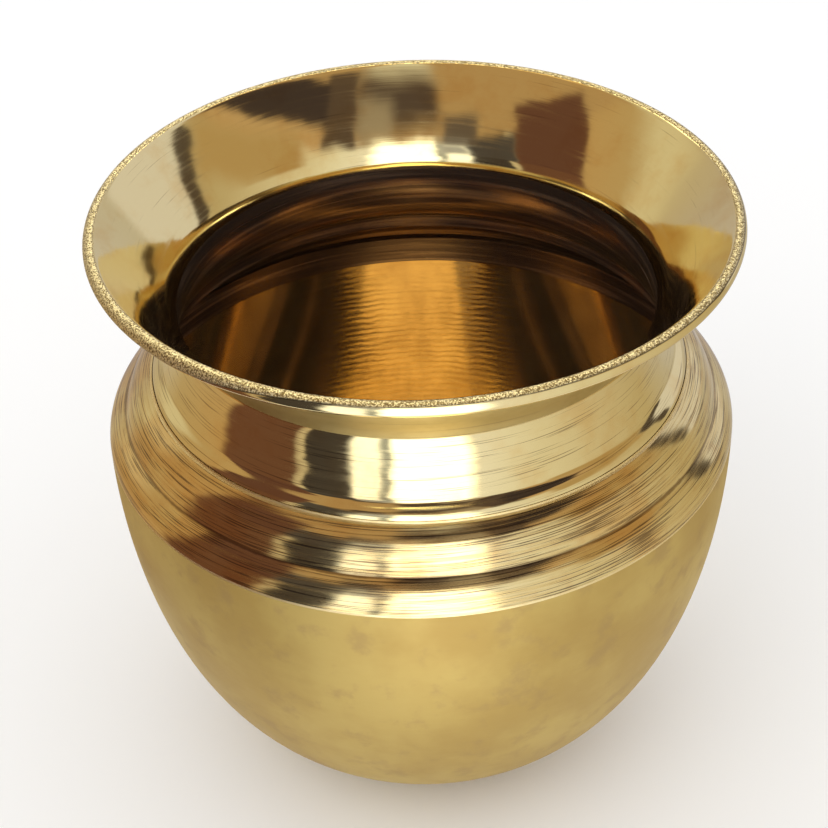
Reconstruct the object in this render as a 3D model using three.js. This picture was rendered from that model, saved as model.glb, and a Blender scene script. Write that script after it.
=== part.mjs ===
// A lota: a small sheet-brass water pot with a round belly, a stepped shoulder and a flared mouth.
// Millimetres, +Z up. The pot stands on z = 0 and its axis is the Z axis.
// Every piece is turned about that axis, so each one is a profile of (radius, height) points.
import * as THREE from 'three';

// Driving dimensions
const facetsAround = 60;
const touchGap = 0.06;

const bowlSheet = 1.0;
const bellyRadius = 50.1;
const bowlTop = 62.2;
const bowlSteps = 16;
const standRadius = 14.0;
const standRingInner = 9.5;
const pushUpHeight = 1.0;
const pushUpRadius = 5.0;
const pushUpEdge = { radius: 8.4, height: 0.25 };
const roundedBottom = { radius: 42.9, height: 4.0 };
const bellyRise = 39.6;

const shoulderSheet = 0.9;
const lapDepth = 2.4;
const lapGap = 0.15;
const seamGroove = 0.4;
const lowBandSteps = 6;
const lowBandRise = 2.0;
const lowBandEase = { radius: 49.0, height: 65.7 };
const middleCrease = { radius: 47.1, height: 67.2 };
const highBandSteps = 7;
const highBandFace = { radius: 45.8, height: 70.8 };
const highBandTread = { radius: 44.5, height: 71.75 };
const topCrease = { radius: 42.3, height: 73.2 };

const neckSheet = 0.8;
const neckLapDepth = 1.9;
const beadSteps = 3;
const beadFace = { radius: 42.24, height: 73.85 };
const beadBrow = { radius: 42.06, height: 74.05 };
const beadTop = { radius: 41.6, height: 74.5 };
const coveSteps = 3;
const coveStart = { radius: 41.2, height: 74.9 };
const coveEnd = { radius: 40.5, height: 75.22 };
const neckFoot = { radius: 40.2, height: 75.7 };
const neckSteps = 5;
const neckEase = { radius: 39.3, height: 77.1 };
const neckUprightHeight = 80.5;
const throatHeight = 83.5;
const throatInnerRadius = 37.0;
const throatBend = 9.0;
const throatBendAngle = 36;
const throatSteps = 5;
const flareBend = 75.0;
const flareSteps = 2;
const lipAngle = 46.79;

const lipRadius = 1.15;
const lipSheet = 0.6;
const lipSteps = 8;
const curlEndAngle = -110;
const wireRadius = 0.45;
const wireFacets = 8;

const filletSize = 0.4;

// A point of a profile, from its radius and height, or from a named place that holds both
const at = (radius, height) => new THREE.Vector2(radius, height);
const place = ({ radius, height }) => at(radius, height);

// Points along a stretch that bends smoothly between two ends, drawn by two handles
function bend(start, startHandle, endHandle, end, steps) {
  return new THREE.CubicBezierCurve(start, startHandle, endHandle, end).getPoints(steps);
}

// Points on a circular arc, with angles in degrees from the outward direction
function arc(centre, radius, startAngle, endAngle, steps) {
  const points = [];
  for (let step = 0; step <= steps; step += 1) {
    const degrees = startAngle + (endAngle - startAngle) * step / steps;
    const angle = THREE.MathUtils.degToRad(degrees);
    points.push(at(centre.x + radius * Math.cos(angle), centre.y + radius * Math.sin(angle)));
  }
  return points;
}

// The other face of a sheet, one thickness to the left of a line of points, mitred at its corners
function otherFace(line, thickness) {
  const leftOf = (a, b) => {
    const along = b.clone().sub(a).normalize();
    return at(-along.y, along.x);
  };
  return line.map((point, i) => {
    const before = leftOf(line[Math.max(i - 1, 0)], line[Math.max(i, 1)]);
    const after = leftOf(line[Math.min(i, line.length - 2)], line[Math.min(i + 1, line.length - 1)]);
    const shift = before.clone().add(after).multiplyScalar(thickness / (1 + before.dot(after)));
    return point.clone().add(shift);
  });
}

// One turned piece, from a profile that runs up its outside and comes back down its inside
function turned(name, profile, look) {
  const geometry = new THREE.LatheGeometry(profile, facetsAround);
  const piece = new THREE.Mesh(geometry, new THREE.MeshStandardMaterial(look));
  piece.name = name;
  piece.rotation.x = Math.PI / 2;
  return piece;
}

// The same, for a ring: its profile closes on itself
function turnedRing(name, profile, look) {
  return turned(name, [...profile, profile[0].clone()], look);
}

const satinBrass = { color: 0xc9ab62, metalness: 1, roughness: 0.42 };
const turnedBrass = { color: 0xd9bd74, metalness: 1, roughness: 0.2 };
const polishedBrass = { color: 0xe0c884, metalness: 1, roughness: 0.14 };
const wireBrass = { color: 0xb89a55, metalness: 1, roughness: 0.4 };
const brazeBrass = { color: 0xc2a765, metalness: 1, roughness: 0.35 };

// Bowl: the lower half, raised from one disc, with a ring to stand on and a pushed-up middle
function makeBowl() {
  const standing = [
    at(0, pushUpHeight),
    at(pushUpRadius, pushUpHeight),
    place(pushUpEdge),
    at(standRingInner, 0),
  ];
  const side = bend(
    at(standRadius, 0),
    place(roundedBottom),
    at(bellyRadius, bellyRise),
    at(bellyRadius, bowlTop),
    bowlSteps,
  );
  const outside = [...standing, ...side];
  const inside = otherFace(outside, bowlSheet).reverse();
  return turned('bowl', [...outside, ...inside], satinBrass);
}

// Shoulder: a ring of sheet that steps in twice on its way up, with a tongue that sits in the bowl.
// Each band is steep at its foot and rounds over to a tread, and the next band rises from a sharp crease.
function makeShoulder() {
  const tongueRadius = bellyRadius - bowlSheet - lapGap;
  const tongueInner = tongueRadius - shoulderSheet;
  const tongueFoot = bowlTop - lapDepth;
  const ledge = bowlTop + seamGroove;
  const ledgeEdge = at(bellyRadius, ledge);
  const bandRise = at(bellyRadius, ledge + lowBandRise);
  const crease = place(middleCrease);
  const holeEdge = at(topCrease.radius + touchGap, topCrease.height);
  const lowBand = bend(ledgeEdge, bandRise, place(lowBandEase), crease, lowBandSteps);
  const highBand = bend(crease, place(highBandFace), place(highBandTread), holeEdge, highBandSteps);
  const outside = [...lowBand, ...highBand.slice(1)];
  const inwardFace = otherFace(outside, shoulderSheet).slice(lowBandSteps - 1);
  const holeInner = inwardFace.pop();
  const inside = [at(holeEdge.x, holeInner.y), ...inwardFace.reverse()];
  const tongue = [
    at(tongueInner, ledge + lowBandRise),
    at(tongueInner, tongueFoot),
    at(tongueRadius, tongueFoot),
    at(tongueRadius, ledge),
  ];
  return turnedRing('shoulder', [...outside, ...inside, ...tongue], turnedBrass);
}

// Centres of the two bends of the mouth's inner face and of the rolled lip that the second bend runs into
function mouthCentres() {
  const onArc = (centre, radius, angle) => arc(centre, radius, 180 - angle, 180 - angle, 1)[0];
  const throat = at(throatInnerRadius + throatBend, throatHeight);
  const bendsMeet = onArc(throat, throatBend, throatBendAngle);
  const flare = throat.clone().sub(bendsMeet).setLength(flareBend).add(bendsMeet);
  const lip = onArc(flare, flareBend - lipRadius, lipAngle);
  return { throat, flare, lip };
}

// Neck and mouth: one sheet, lapped inside the shoulder. From the shoulder up it has a small bead and a
// cove, then it is drawn in to the throat, and from there it flares to a curled lip.
function makeNeckAndMouth() {
  const { throat, flare, lip } = mouthCentres();
  const lapRadius = topCrease.radius - touchGap;
  const lapTop = at(lapRadius, topCrease.height);
  const lapFoot = at(lapRadius, topCrease.height - neckLapDepth);
  const throatOuter = at(throatInnerRadius + neckSheet, throatHeight);
  const throatFoot = at(throatOuter.x, neckUprightHeight);
  const bead = bend(lapTop, place(beadFace), place(beadBrow), place(beadTop), beadSteps);
  const cove = bend(place(beadTop), place(coveStart), place(coveEnd), place(neckFoot), coveSteps);
  const wall = bend(place(neckFoot), place(neckEase), throatFoot, throatOuter, neckSteps);
  const neck = [...bead, ...cove.slice(1), ...wall.slice(1)];
  const neckInside = otherFace([lapFoot, ...neck], neckSheet).reverse();
  const throatEnd = 180 - throatBendAngle;
  const lipStart = 180 - lipAngle;
  const outside = [
    lapFoot,
    ...neck,
    ...arc(throat, throatBend - neckSheet, 180, throatEnd, throatSteps).slice(1),
    ...arc(flare, flareBend - neckSheet, throatEnd, lipStart, flareSteps).slice(1, -1),
    ...arc(lip, lipRadius - lipSheet, lipStart, curlEndAngle, lipSteps),
  ];
  const inside = [
    ...arc(lip, lipRadius, curlEndAngle, lipStart, lipSteps),
    ...arc(flare, flareBend, lipStart, throatEnd, flareSteps).slice(1),
    ...arc(throat, throatBend, throatEnd, 180, throatSteps).slice(1, -1),
    ...neckInside,
  ];
  return turnedRing('neck_and_mouth', [...outside, ...inside], polishedBrass);
}

// Rim wire: the round wire that the lip is curled over
function makeRimWire() {
  const section = arc(mouthCentres().lip, wireRadius, -90, 270, wireFacets).slice(0, -1);
  return turnedRing('rim_wire', section, wireBrass);
}

// Belly braze: the filler in the groove between the top edge of the bowl and the ledge of the shoulder
function makeBellyBraze() {
  const inner = bellyRadius - bowlSheet + touchGap;
  const low = bowlTop + touchGap;
  const high = bowlTop + seamGroove - touchGap;
  const section = [
    at(inner, low),
    at(bellyRadius, low),
    at(bellyRadius, high),
    at(inner, high),
  ];
  return turnedRing('belly_seam_braze', section, brazeBrass);
}

// Neck braze: the small fillet in the corner where the neck stands in the hole of the shoulder
function makeNeckBraze() {
  const corner = topCrease.height + touchGap;
  const section = [
    at(topCrease.radius, corner),
    at(topCrease.radius + filletSize, corner - filletSize / 2),
    at(topCrease.radius, topCrease.height + filletSize),
  ];
  return turnedRing('neck_seam_braze', section, brazeBrass);
}

const lota = new THREE.Group();
lota.add(makeBowl());
lota.add(makeBellyBraze());
lota.add(makeShoulder());
lota.add(makeNeckBraze());
lota.add(makeNeckAndMouth());
lota.add(makeRimWire());

export default lota;
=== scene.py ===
import math

import bpy
from mathutils import Matrix, Vector
from mathutils.geometry import interpolate_bezier


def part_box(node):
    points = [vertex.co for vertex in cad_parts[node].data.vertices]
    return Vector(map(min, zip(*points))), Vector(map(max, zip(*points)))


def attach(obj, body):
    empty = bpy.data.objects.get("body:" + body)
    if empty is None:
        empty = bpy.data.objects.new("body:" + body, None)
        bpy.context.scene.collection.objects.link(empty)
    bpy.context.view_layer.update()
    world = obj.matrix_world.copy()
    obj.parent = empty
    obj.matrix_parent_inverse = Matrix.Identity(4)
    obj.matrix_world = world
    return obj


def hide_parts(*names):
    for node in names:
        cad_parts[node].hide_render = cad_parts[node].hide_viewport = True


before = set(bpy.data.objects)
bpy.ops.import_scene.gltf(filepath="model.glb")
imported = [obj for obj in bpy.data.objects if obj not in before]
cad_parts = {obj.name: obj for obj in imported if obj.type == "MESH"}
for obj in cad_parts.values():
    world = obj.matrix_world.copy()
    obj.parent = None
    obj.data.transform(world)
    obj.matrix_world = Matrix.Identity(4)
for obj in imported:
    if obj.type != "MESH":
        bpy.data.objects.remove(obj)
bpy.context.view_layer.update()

# Sizes and places are written in millimetres, and are multiplied by this where Blender takes metres.
mm = 0.001

# Camera
# The photograph looks down into the pot from in front, through a longish lens, and leans to one side.
photo_width = 828
lens_in_pixels = 2000
look_at = Vector((-1.09, 0, 61.0))
camera_distance = 325.6
camera_elevation = math.radians(36.94)
camera_lean = math.radians(-2.11)

bpy.ops.object.select_all(action="DESELECT")
bpy.ops.object.camera_add()
camera = bpy.context.object
camera.data.lens = camera.data.sensor_width * lens_in_pixels / photo_width
back = Vector((0, -math.cos(camera_elevation), math.sin(camera_elevation)))
across = Vector((1, 0, 0))
camera_place = (look_at + back * camera_distance) * mm
facing = Matrix((across, back.cross(across), back)).transposed()
lean = Matrix.Rotation(camera_lean, 3, "Z")
camera.matrix_world = Matrix.LocRotScale(camera_place, facing @ lean, None)
bpy.context.scene.camera = camera

# Bowl
# The lower half of the pot: one disc of sheet brass, raised round and rubbed satin. It stands on a
# narrow flat ring round a pushed-up middle, and its upright top edge holds the tongue of the shoulder.
bowl_sheet = 1.0
belly_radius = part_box("bowl")[1].x / mm
bowl_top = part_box("bowl")[1].z / mm
belly_rise = 39.6
stand_radius = 14.0
stand_ring_inner = 9.5
push_up_height = 1.0
push_up_radius = 5.0
bowl_steps = 72
turning_steps = 256
weld_distance = 0.001
smooth_angle = 20


def at(radius, height):
    """A point of a section, from its distance from the pot's axis and its height."""
    return Vector((radius, 0, height))


push_up_edge = at(8.4, 0.25)
rounded_bottom = at(42.9, 4.0)


def bend(start, start_handle, end_handle, end, steps):
    """Points along a stretch that bends smoothly between two ends."""
    return interpolate_bezier(start, start_handle, end_handle, end, steps + 1)


def other_face(line, thickness):
    """The other face of a sheet, one thickness to the left of a line of points, mitred at its corners."""
    lefts = []
    for before, after in zip(line, line[1:]):
        along = (after - before).normalized()
        lefts.append(Vector((-along.z, 0, along.x)))
    shifted = []
    for point, left, right in zip(line, lefts[:1] + lefts, lefts + lefts[-1:]):
        shifted.append(point + (left + right) * (thickness / (1 + left.dot(right))))
    return shifted


def turn(name, section, crease=smooth_angle):
    """One turned piece: its section is drawn point by point and spun once round the pot's axis."""
    bpy.ops.object.select_all(action="DESELECT")
    bpy.ops.mesh.primitive_plane_add(size=mm, location=section[0] * mm)
    bpy.ops.object.transform_apply(location=True, rotation=False, scale=False)
    piece = bpy.context.object
    piece.name = piece.data.name = name
    bpy.ops.object.mode_set(mode="EDIT")
    bpy.ops.mesh.merge(type="CENTER")
    for before, after in zip(section, section[1:]):
        bpy.ops.mesh.extrude_region_move(TRANSFORM_OT_translate={"value": (after - before) * mm})
    bpy.ops.mesh.select_all(action="SELECT")
    bpy.ops.mesh.spin(steps=turning_steps, angle=2 * math.pi, center=(0, 0, 0), axis=(0, 0, 1))
    bpy.ops.mesh.select_all(action="SELECT")
    bpy.ops.mesh.remove_doubles(threshold=weld_distance * mm)
    bpy.ops.mesh.normals_make_consistent(inside=False)
    bpy.ops.object.mode_set(mode="OBJECT")
    bpy.ops.object.shade_smooth_by_angle(angle=math.radians(crease))
    return piece


standing = [
    at(0, push_up_height),
    at(push_up_radius, push_up_height),
    push_up_edge,
    at(stand_ring_inner, 0),
]
bowl_side = bend(
    at(stand_radius, 0),
    rounded_bottom,
    at(belly_radius, belly_rise),
    at(belly_radius, bowl_top),
    bowl_steps,
)
bowl_outside = standing + bowl_side
bowl_inside = other_face(bowl_outside, bowl_sheet)
bowl_inside.reverse()
bowl = turn("bowl_sheet", bowl_outside + bowl_inside)


class Shade:
    """One output of a shader node. Sums on it add Math nodes, and node() adds any other kind."""

    def __init__(self, tree, socket):
        self.tree = tree
        self.socket = socket

    def node(self, kind, settings, inputs, output=0):
        made = self.tree.nodes.new("ShaderNode" + kind)
        stops = settings.pop("stops", [])
        for name, value in settings.items():
            setattr(made, name, value)
        if stops:
            marks = made.color_ramp.elements
            for position, colour in stops[1:-1]:
                marks.new(position)
            for mark, (position, colour) in zip(marks, stops):
                mark.position = position
                mark.color = (*colour, 1)
        for name, value in inputs.items():
            self.feed(made.inputs[name], value)
        return Shade(self.tree, made.outputs[output])

    def feed(self, socket, value):
        if isinstance(value, Shade):
            self.tree.links.new(value.socket, socket)
        elif isinstance(value, tuple) and socket.type == "RGBA":
            socket.default_value = (*value, 1)
        else:
            socket.default_value = value

    def work_out(self, operation, first, second=0.0):
        return self.node("Math", {"operation": operation}, {0: first, 1: second})

    def __add__(self, other):
        return self.work_out("ADD", self, other)

    def __radd__(self, other):
        return self.work_out("ADD", other, self)

    def __sub__(self, other):
        return self.work_out("SUBTRACT", self, other)

    def __rsub__(self, other):
        return self.work_out("SUBTRACT", other, self)

    def __mul__(self, other):
        return self.work_out("MULTIPLY", self, other)

    def __truediv__(self, other):
        return self.work_out("DIVIDE", self, other)

    def __pow__(self, other):
        return self.work_out("POWER", self, other)

    def sine(self):
        return self.work_out("SINE", self)

    def smaller(self, other):
        """The smaller of this and another value."""
        return self.work_out("MINIMUM", self, other)

    def angle_over(self, other):
        """The angle in degrees whose tangent is this over another value, all the way round."""
        return self.work_out("ARCTAN2", self, other) * math.degrees(1)

    def part(self, name):
        """One of the numbers X, Y and Z, where this is a vector."""
        return Shade(self.tree, self.node("SeparateXYZ", {}, {0: self}).socket.node.outputs[name])

    def from_axis(self):
        """The distance from the pot's axis, where this is a place."""
        return (self.part("X") ** 2 + self.part("Y") ** 2) ** 0.5

    def from_crease(self, crease):
        """The distance from a crease that runs round the pot, where this is a place."""
        return ((self.from_axis() - crease.x) ** 2 + (self.part("Z") - crease.z) ** 2) ** 0.5

    def step(self, low, high):
        """0 below low and 1 above high, with a smooth rise between them."""
        ends = {"Value": self, "From Min": low, "From Max": high, "To Min": 0.0, "To Max": 1.0}
        return self.node("MapRange", {"interpolation_type": "SMOOTHSTEP"}, ends)

    def band(self, low, high, softness):
        """1 between low and high and 0 outside them, with a smooth edge on both sides of each."""
        above_low = self.step(low - softness, low + softness)
        above_high = self.step(high - softness, high + softness)
        return above_low * (1 - above_high)

    def noise(self, scale, detail=2.0, roughness=0.5):
        """Noise with features of a 1/scale size, where this is a place."""
        inputs = {"Vector": self, "Scale": scale, "Detail": detail, "Roughness": roughness}
        return self.node("TexNoise", {}, inputs)

    def mix(self, first, second):
        """From the first colour to the second as this goes from 0 to 1."""
        return self.node("Mix", {"data_type": "RGBA"}, {0: self, 6: first, 7: second}, 2)

    def bump(self, depth, before=None):
        """A normal bent by this height, where 1 stands for a depth in millimetres."""
        inputs = {"Height": self, "Strength": 1.0, "Distance": depth * mm}
        if before is not None:
            inputs["Normal"] = before
        return self.node("Bump", {}, inputs)


def brass(name, metallic=1):
    """A new metal material, and the place on a piece that its patterns follow, in millimetres."""
    finish = bpy.data.materials.new(name)
    finish.use_nodes = True
    tree = finish.node_tree
    tree.nodes["Principled BSDF"].inputs["Metallic"].default_value = metallic
    metres = Shade(tree, tree.nodes.new("ShaderNodeTexCoord").outputs["Object"])
    return finish, metres.node("VectorMath", {"operation": "SCALE"}, {0: metres, "Scale": 1 / mm})


def surface(finish, colour, roughness, normal):
    """Gives a metal material what changes over its surface."""
    metal = finish.node_tree.nodes["Principled BSDF"]
    colour.feed(metal.inputs["Base Color"], colour)
    colour.feed(metal.inputs["Roughness"], roughness)
    colour.feed(metal.inputs["Normal"], normal)


def ring_noise(place, pitch, along, detail=2.0):
    """Lathe lines: noise that changes every pitch up the profile, and only every along round the pot."""
    squeezed = place.node("CombineXYZ", {}, {
        "X": place.from_axis() / pitch + place.part("X") / along,
        "Y": place.part("Y") / along,
        "Z": place.part("Z") / pitch,
    })
    return squeezed.noise(1.0, detail)


# Inner faces are those that look towards this point in the pot's hollow.
hollow_middle = at(0, 60.0)


def refinish(piece, finish, side, low, high):
    """Gives a finish to a piece's faces between two heights: the outer ones (1) or the inner ones (-1)."""
    middle = hollow_middle * mm
    piece.data.materials.append(finish)
    for face in piece.data.polygons:
        outward = face.normal.dot(face.center - middle)
        if outward * side > 0 and low < face.center.z / mm < high:
            face.material_index = len(piece.data.materials) - 1


satin_gold = (0.52, 0.375, 0.108)
satin_olive = (0.44, 0.295, 0.075)
satin_smudge = (0.36, 0.235, 0.085)
satin_speck = (0.36, 0.24, 0.11)

satin, place = brass("satin_brass", metallic=0.5)
cloud = place.noise(0.05, 4.0, 0.55)
smudge = place.noise(0.16, 5.0, 0.6)
speck = place.noise(1.1, 3.0, 0.6)
rubbed = ring_noise(place, 0.5, 7.0, 3.0)
colour = cloud.step(0.35, 0.65).mix(satin_gold, satin_olive)
colour = (smudge.step(0.50, 0.70) * 0.5).mix(colour, satin_smudge)
colour = (speck.step(0.70, 0.80) * 0.35).mix(colour, satin_speck)
surface(satin, colour, 0.42 + smudge * 0.16 + rubbed * 0.08, rubbed.bump(0.006, cloud.bump(0.10)))
bowl.data.materials.append(satin)

scraped_gold = (0.60, 0.43, 0.20)
scraped_stain = (0.46, 0.31, 0.14)
feed_pitch = 1.1
feed_wander = 9.0

scraped, place = brass("scraped_inside", metallic=0.93)
feed_marks = (place.part("Z") * (2 * math.pi / feed_pitch) + place.noise(0.25, 3.0) * feed_wander).sine()
fine_marks = ring_noise(place, 0.3, 20.0)
stain = place.noise(0.1, 4.0, 0.6)
colour = stain.step(0.4, 0.75).mix(scraped_gold, scraped_stain)
roughness = 0.05 + fine_marks.step(0.4, 0.8) * 0.06
surface(scraped, colour, roughness, fine_marks.bump(0.0014, feed_marks.bump(0.0008)))
refinish(bowl, scraped, -1, 0, bowl_top)
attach(bowl, "root")
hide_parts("bowl")

# Shoulder
# A ring of the same sheet that closes the pot in over two turned bands, with a tongue that sits inside
# the bowl's edge. It was turned and polished on the lathe after brazing, so it is bright with fine lines.
shoulder_sheet = 0.9
lap_depth = 2.4
lap_gap = 0.15
touch_gap = 0.06
seam_groove = 0.4
low_band_rise = 2.0
low_band_ease = at(49.0, 65.7)
low_band_steps = 36
tongue_covers_steps = 30
middle_crease = at(47.1, 67.2)
high_band_face = at(45.8, 70.8)
high_band_tread = at(44.5, 71.75)
high_band_steps = 42
top_crease = at(42.3, 73.2)

ledge = bowl_top + seam_groove
ledge_edge = at(belly_radius, ledge)
band_rise = at(belly_radius, ledge + low_band_rise)
hole_edge = at(top_crease.x + touch_gap, top_crease.z)
low_band = bend(ledge_edge, band_rise, low_band_ease, middle_crease, low_band_steps)
high_band = bend(middle_crease, high_band_face, high_band_tread, hole_edge, high_band_steps)
shoulder_outside = low_band + high_band[1:]
inward_face = other_face(shoulder_outside, shoulder_sheet)[tongue_covers_steps:]
hole_inner = inward_face.pop()
inward_face.reverse()
tongue_radius = belly_radius - bowl_sheet - lap_gap
tongue_inner = tongue_radius - shoulder_sheet
tongue_foot = bowl_top - lap_depth
tongue = [
    at(tongue_inner, ledge + low_band_rise),
    at(tongue_inner, tongue_foot),
    at(tongue_radius, tongue_foot),
    at(tongue_radius, ledge),
]
shoulder_inside = [at(hole_edge.x, hole_inner.z)] + inward_face
shoulder = turn("shoulder_bands", shoulder_outside + shoulder_inside + tongue + [ledge_edge])

turned_bright = (0.87, 0.73, 0.38)
turned_score = (0.78, 0.60, 0.27)
turned_smudge = (0.74, 0.52, 0.24)
patina_and_left_shade = (0.78, 0.47, 0.16)
crease_shade = (0.20, 0.125, 0.06)
scratch_dirt = (0.14, 0.09, 0.05)

turned, place = brass("turned_brass")
lines = ring_noise(place, 0.16, 30.0, 3.0)
scores = ring_noise(place, 0.45, 14.0)
scratches = ring_noise(place, 0.16, 12.0, 3.0)
worn = place.noise(0.07, 3.0)
waver = place.noise(0.09)
smudge = place.noise(0.25, 4.0, 0.6)
left_side = (0 - place.part("X")).step(5, 35)
# Painted shade: the colour darkens along the top and middle creases, over a width that wanders with the
# smudges.
nearest_crease = place.from_crease(top_crease).smaller(place.from_crease(middle_crease) + 0.1)
crease_shade_mask = 1 - (nearest_crease + (smudge - 0.5) * 0.7).step(0.2, 0.5)
colour = scores.step(0.35, 0.7).mix(turned_bright, turned_score)
colour = (smudge.step(0.5, 0.8) * 0.6).mix(colour, turned_smudge)
# Patina in random patches, painted heavier on the left side as painted shade there.
colour = ((worn + left_side * 0.12).step(0.5, 0.66) * 0.5).mix(colour, patina_and_left_shade)
colour = (crease_shade_mask * 0.7).mix(colour, crease_shade)
colour = ((scratches + worn * 0.3).step(0.67, 0.76) * 0.8).mix(colour, scratch_dirt)
roughness = 0.11 + scores.step(0.4, 0.8) * 0.14
surface(turned, colour, roughness, lines.bump(0.003, scores.bump(0.006, waver.bump(0.06))))
shoulder.data.materials.append(turned)

brown_dark = (0.14, 0.095, 0.07)
brown_light = (0.38, 0.27, 0.19)
brown_stain = (0.12, 0.07, 0.045)

brown, place = brass("browned_inside", metallic=0.85)
fine_marks = ring_noise(place, 0.35, 25.0)
coarse_marks = ring_noise(place, 1.1, 30.0, 3.0)
stain = place.noise(0.15, 4.0, 0.6)
colour = coarse_marks.step(0.45, 0.68).mix(brown_dark, brown_light)
colour = (stain.step(0.5, 0.8) * 0.5).mix(colour, brown_stain)
roughness = 0.16 + fine_marks.step(0.3, 0.8) * 0.12
surface(brown, colour, roughness, fine_marks.bump(0.004, coarse_marks.bump(0.02)))
refinish(shoulder, brown, -1, 0, top_crease.z)
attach(shoulder, "root")
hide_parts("shoulder")

# Belly seam
# The filler that was run into the groove between the bowl's edge and the shoulder's ledge. It is a ring
# of yellow brazing brass, filed flush with the belly and polished with it.
groove_inner = belly_radius - bowl_sheet
braze_section = [
    at(groove_inner, bowl_top),
    at(belly_radius, bowl_top),
    at(belly_radius, ledge),
    at(groove_inner, ledge),
]
belly_braze = turn("belly_braze_ring", braze_section + braze_section[:1])

braze_bright = (0.88, 0.74, 0.42)
braze_shade = (0.82, 0.66, 0.34)

braze, place = brass("braze_brass")
blotch = place.noise(0.5, 3.0)
file_lines = ring_noise(place, 0.12, 6.0)
colour = blotch.step(0.3, 0.7).mix(braze_bright, braze_shade)
surface(braze, colour, 0.40 + blotch * 0.12, file_lines.bump(0.008))
belly_braze.data.materials.append(braze)
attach(belly_braze, "root")
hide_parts("belly_seam_braze")

# Neck and mouth
# One sheet, lapped inside the shoulder's hole, drawn in to the throat and flared out to the mouth. Its
# edge is curled outward over a wire into the lip, and the lip is struck all round with a fine grain.
neck_sheet = 0.8
neck_lap = 1.9
bead_face = at(42.24, 73.85)
bead_brow = at(42.06, 74.05)
bead_top = at(41.6, 74.5)
bead_steps = 12
cove_start = at(41.2, 74.9)
cove_end = at(40.5, 75.22)
cove_steps = 12
neck_foot = at(40.2, 75.7)
neck_ease = at(39.3, 77.1)
neck_upright_height = 80.5
neck_steps = 24
throat_height = 83.5
throat_inner_radius = 37.0
throat_bend = 9.0
throat_bend_angle = 36
throat_steps = 16
flare_bend = 75.0
flare_steps = 32
lip_angle = 46.79
lip_radius = 1.15
lip_sheet = 0.6
curl_end_angle = -110
curl_outside_steps = 32
curl_inside_steps = 24


def arc(centre, radius, start_angle, end_angle, steps):
    """Points on a circular arc, with angles in degrees from the outward direction."""
    points = []
    for step in range(steps + 1):
        angle = math.radians(start_angle + (end_angle - start_angle) * step / steps)
        points.append(centre + Vector((math.cos(angle), 0, math.sin(angle))) * radius)
    return points


throat_end = 180 - throat_bend_angle
lip_start = 180 - lip_angle
throat_centre = at(throat_inner_radius + throat_bend, throat_height)
bends_meet = arc(throat_centre, throat_bend, throat_end, throat_end, 1)[0]
flare_centre = bends_meet + (throat_centre - bends_meet).normalized() * flare_bend
lip_centre = arc(flare_centre, flare_bend - lip_radius, lip_start, lip_start, 1)[0]

lap_top = at(top_crease.x - touch_gap, top_crease.z)
lap_foot = at(lap_top.x, lap_top.z - neck_lap)
throat_outer = at(throat_inner_radius + neck_sheet, throat_height)
throat_foot = at(throat_outer.x, neck_upright_height)
bead = bend(lap_top, bead_face, bead_brow, bead_top, bead_steps)
cove = bend(bead_top, cove_start, cove_end, neck_foot, cove_steps)
neck_wall = bend(neck_foot, neck_ease, throat_foot, throat_outer, neck_steps)
neck_line = [lap_foot] + bead + cove[1:] + neck_wall[1:]
neck_inside = other_face(neck_line, neck_sheet)
neck_inside.reverse()
mouth_outside = (
    neck_line
    + arc(throat_centre, throat_bend - neck_sheet, 180, throat_end, throat_steps)[1:]
    + arc(flare_centre, flare_bend - neck_sheet, throat_end, lip_start, flare_steps)[1:-1]
    + arc(lip_centre, lip_radius - lip_sheet, lip_start, curl_end_angle, curl_inside_steps)
)
mouth_inside = (
    arc(lip_centre, lip_radius, curl_end_angle, lip_start, curl_outside_steps)
    + arc(flare_centre, flare_bend, lip_start, throat_end, flare_steps)[1:]
    + arc(throat_centre, throat_bend, throat_end, 180, throat_steps)[1:-1]
    + neck_inside
)
neck = turn("neck_and_flared_mouth", mouth_outside + mouth_inside + mouth_outside[:1])

polished_bright = (0.88, 0.75, 0.40)
polished_tarnish = (0.83, 0.64, 0.30)
polished_dirt = (0.20, 0.13, 0.065)
grain_pit = (0.27, 0.20, 0.085)
grain_bright = (0.93, 0.83, 0.52)
lip_dark_reflection = (0.14, 0.10, 0.05)
wall_ends_low = 84.0
wall_ends_high = 86.0
lip_starts_low = 48.5
lip_starts_high = 48.75

# A dark line is painted round the lip where its grain ends, as a painted reflection of a dark band across
# the rounded lip. It lies at this angle in degrees round the lip's own centre. It wanders a little, and at
# the left it runs lower.
dark_line_angle = 43
dark_line_wander = 6
dark_line_drop_at_left = 70
dark_line_half_width = 5
dark_line_softness = 3

polished, place = brass("polished_brass")
height = place.part("Z")
radius = place.from_axis()
lines = ring_noise(place, 0.14, 40.0, 3.0)
scores = ring_noise(place, 0.6, 16.0)
scratches = ring_noise(place, 0.2, 14.0, 3.0)
waver = place.noise(0.08)
tarnish = place.noise(0.12, 4.0, 0.6)
grain = place.noise(2.6, 2.0, 0.6)
pit = place.noise(4.2, 1.0)
left_side = (0 - place.part("X")).step(12, 38)
outer_wall = 1 - height.step(wall_ends_low, wall_ends_high)
round_lip = (height - lip_centre.z).angle_over(radius - lip_centre.x)
dark_line_at = dark_line_angle + place.noise(0.1) * dark_line_wander - left_side * dark_line_drop_at_left
dark_line = round_lip.band(dark_line_at - dark_line_half_width, dark_line_at + dark_line_half_width, dark_line_softness)
above_dark_line = round_lip.step(dark_line_at - dark_line_softness, dark_line_at + dark_line_softness)
lip_mask = (radius + grain * 0.5).step(lip_starts_low, lip_starts_high) * above_dark_line
colour = tarnish.step(0.45, 0.75).mix(polished_bright, polished_tarnish)
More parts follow.
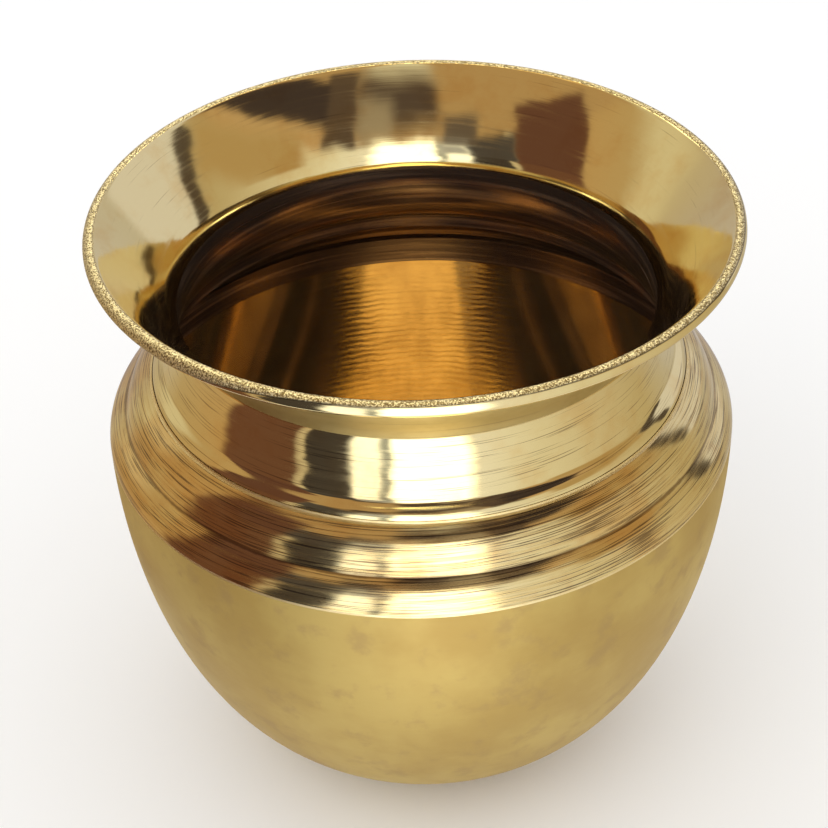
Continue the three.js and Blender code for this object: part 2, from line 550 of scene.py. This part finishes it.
colour = ((scratches + outer_wall * 0.08).step(0.66, 0.76) * 0.65).mix(colour, polished_dirt)
# The grain is painted a little lighter on the left side, as painted light there.
lip_colour = (pit + left_side * 0.04).step(0.42, 0.60).mix(grain_pit, grain_bright)
# Painted reflection: the dark line round the lip is painted over both the grain and the polish.
colour = (dark_line * 0.75).mix(lip_mask.mix(colour, lip_colour), lip_dark_reflection)
roughness = 0.07 + scores.step(0.45, 0.8) * 0.08 + lip_mask * 0.35
marks = lines * 0.001 + scores * 0.004 + waver * 0.06 + lip_mask * grain * 0.20
surface(polished, colour, roughness, marks.bump(1.0))
neck.data.materials.append(polished)

# The underside of the flare is matt from the first of these heights up, and the inside of the neck has
# browned up to the second.
matt_from = 85.0
brown_to = 85.5
matt_gold = (0.50, 0.39, 0.17)
matt_stain = (0.40, 0.30, 0.11)
matt_line = (0.26, 0.18, 0.08)

matt, place = brass("matt_underside")
lines = ring_noise(place, 0.35, 25.0, 3.0)
stain = place.noise(0.12, 4.0, 0.6)
colour = stain.step(0.35, 0.75).mix(matt_gold, matt_stain)
colour = (lines.step(0.6, 0.72) * 0.5).mix(colour, matt_line)
surface(matt, colour, 0.46 + stain * 0.1, lines.bump(0.01))
refinish(neck, matt, 1, matt_from, lip_centre.z - lip_radius)
refinish(neck, brown, -1, 0, brown_to)
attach(neck, "root")
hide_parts("neck_and_mouth")

# Neck seam
# The small fillet of brazing brass in the corner where the neck stands in the shoulder's hole. It was
# wiped round with the flame and turned clean.
fillet_size = 0.4
fillet_steps = 10
fillet_top = at(top_crease.x, top_crease.z + fillet_size)
fillet_foot = at(top_crease.x + fillet_size, top_crease.z + touch_gap - fillet_size / 2)
fillet_corner = at(top_crease.x, top_crease.z + touch_gap)
fillet_face = bend(fillet_foot, fillet_corner, fillet_corner, fillet_top, fillet_steps)
neck_braze = turn("neck_braze_fillet", [fillet_corner] + fillet_face + [fillet_corner])
neck_braze.data.materials.append(braze)
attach(neck_braze, "root")
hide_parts("neck_seam_braze")

# Rim wire
# A ring of drawn brass wire inside the curl of the lip, which keeps the mouth round. It can be seen only
# through the slot under the lip.
wire_radius = 0.45
wire_steps = 16
wire_smooth_angle = 60
wire_section = arc(lip_centre, wire_radius, -90, 270, wire_steps)
rim_wire = turn("rim_stiffening_wire", wire_section, wire_smooth_angle)

wire_gold = (0.66, 0.48, 0.22)
wire_dull = (0.52, 0.37, 0.17)

wire, place = brass("wire_brass")
draw_lines = ring_noise(place, 0.1, 12.0)
dull = place.noise(0.8)
surface(wire, dull.step(0.3, 0.7).mix(wire_gold, wire_dull), 0.32 + dull * 0.15, draw_lines.bump(0.006))
rim_wire.data.materials.append(wire)
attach(rim_wire, "root")
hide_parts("rim_wire")

# Studio
# A plain pale floor under an even white sky, with one soft lamp. What polished brass shows is what stands
# round it, so a painted dome and a painted mat stand there, which only reflections see.
floor_width = 8000
floor_white = (0.95, 0.95, 0.95, 1)
bpy.ops.object.select_all(action="DESELECT")
bpy.ops.mesh.primitive_plane_add(size=floor_width * mm)
floor = bpy.context.object
floor.name = "floor"
paint = bpy.data.materials.new("floor_paint")
paint.use_nodes = True
paint.node_tree.nodes["Principled BSDF"].inputs["Base Color"].default_value = floor_white
paint.node_tree.nodes["Principled BSDF"].inputs["Roughness"].default_value = 0.9
floor.data.materials.append(paint)

dome_radius = 1000
dome_steps = 48
mat_inner = 80
mat_height = 0.3
edge_waver = 7.0
overhead = 95
behind = 200

# Colours all round the pot, each at its place in degrees: 0 is in front, 90 right and 180 behind.
ring_stops = [
    (-180, (0.62, 0.60, 0.66)),
    (-150, (0.50, 0.44, 0.42)),
    (-130, (0.56, 0.48, 0.36)),
    (-118, (0.50, 0.38, 0.22)),
    (-88, (0.52, 0.35, 0.18)),
    (-85, (0.16, 0.075, 0.05)),
    (-53, (0.15, 0.07, 0.045)),
    (-51.5, (0.62, 0.52, 0.38)),
    (-49, (0.62, 0.52, 0.38)),
    (-48, (0.055, 0.045, 0.045)),
    (-30, (0.07, 0.06, 0.06)),
    (-27.5, (1.70, 1.70, 1.75)),
    (-17.5, (1.70, 1.70, 1.75)),
    (-16.5, (0.40, 0.42, 0.46)),
    (-13.5, (0.44, 0.46, 0.50)),
    (-12, (2.6, 2.6, 2.6)),
    (17, (2.6, 2.6, 2.5)),
    (22, (0.92, 0.91, 0.94)),
    (36, (0.84, 0.81, 0.76)),
    (50, (0.76, 0.71, 0.61)),
    (75, (0.64, 0.56, 0.43)),
    (103, (0.52, 0.43, 0.28)),
    (125, (0.54, 0.50, 0.46)),
    (180, (0.62, 0.60, 0.66)),
]

# Cards painted over those colours: left and right edge, bottom and top edge above the horizon, and
# softness of the edges, all in degrees, and the colour. A later card covers an earlier one.
cards = [
    (-behind, behind, 49, overhead, 2, (0.46, 0.31, 0.17)),
    (-14, 26, 66, overhead, 6, (0.72, 0.68, 0.60)),
    (-behind, -127, 41, overhead, 2, (2.50, 2.30, 1.70)),
    (125, behind, 41, overhead, 2, (2.50, 2.30, 1.70)),
    (-110, -92, 62, overhead, 3, (1.10, 0.76, 0.36)),
    (-130, -112, 10, 60, 6, (0.68, 0.61, 0.47)),
    (-88, -55, 30, 56, 1.2, (0.13, 0.06, 0.045)),
    (-53, -28, 30, 48, 1.5, (0.08, 0.07, 0.075)),
    (-35, -17, 47, 55, 2, (0.13, 0.10, 0.09)),
    (-28, -13, 32, 48, 4, (0.46, 0.47, 0.54)),
    (-15, 29, 53, 68, 5, (0.09, 0.065, 0.06)),
    (10, 28, 50, 61, 4, (0.34, 0.28, 0.23)),
    (29, 46, 47, 68, 1.5, (0.10, 0.07, 0.06)),
    (44, 104, 52.5, 65, 1.2, (0.055, 0.04, 0.042)),
    (46, 100, 47, 53, 1.5, (0.55, 0.38, 0.22)),
    (56, 106, 34, 49, 4, (0.47, 0.33, 0.17)),
    (112, 142, 5, 60, 2, (0.72, 0.70, 0.76)),
    (106.5, 112.5, 12, 46, 1, (0.09, 0.07, 0.06)),
]


def painted_sheet(name, section):
    """A sheet of the studio that only reflections see, painted by its direction from the pot's foot."""
    sheet = turn(name, section)
    sheet.visible_camera = False
    sheet.visible_diffuse = False
    sheet.visible_transmission = False
    sheet.visible_shadow = False
    glow = bpy.data.materials.new(name + "_paint")
    glow.use_nodes = True
    tree = glow.node_tree
    tree.nodes.clear()
    metres = Shade(tree, tree.nodes.new("ShaderNodeTexCoord").outputs["Object"])
    waver = (metres.noise(5.0, 3.0) - 0.5) * edge_waver
    around = metres.part("X").angle_over(0 - metres.part("Y")) + waver
    up = metres.part("Z").angle_over(metres.from_axis()) - waver
    stops = [(degrees / 360 + 0.5, colour) for degrees, colour in ring_stops]
    colour = metres.node("ValToRGB", {"stops": stops}, {"Fac": around / 360 + 0.5})
    for left, right, bottom, top, softness, card_colour in cards:
        card = around.band(left, right, softness) * up.band(bottom, top, softness)
        colour = card.mix(colour, card_colour)
    light = metres.node("Emission", {}, {"Color": colour, "Strength": 1.0})
    light.feed(tree.nodes.new("ShaderNodeOutputMaterial").inputs["Surface"], light)
    sheet.data.materials.append(glow)


painted_sheet("dome", arc(at(0, 0), dome_radius, 0, 90, dome_steps))
painted_sheet("mat", [at(mat_inner, mat_height), at(dome_radius, mat_height)])

sky = bpy.data.worlds.new("sky")
bpy.context.scene.world = sky
sky.use_nodes = True
sky.node_tree.nodes["Background"].inputs["Strength"].default_value = 1.0
sky.node_tree.nodes["Background"].inputs["Color"].default_value = (1, 1, 1, 1)

lamp_place = Vector((-500, -600, 900))
lamp_width = 700
lamp_watts = 1.6
bpy.ops.object.light_add(type="AREA", location=lamp_place * mm)
lamp = bpy.context.object
lamp.name = "soft_lamp"
lamp.data.size = lamp_width * mm
lamp.data.energy = lamp_watts
lamp.rotation_euler = (look_at - lamp_place).to_track_quat("-Z", "Y").to_euler()
lamp.visible_glossy = False

bpy.context.scene.view_settings.view_transform = "Standard"
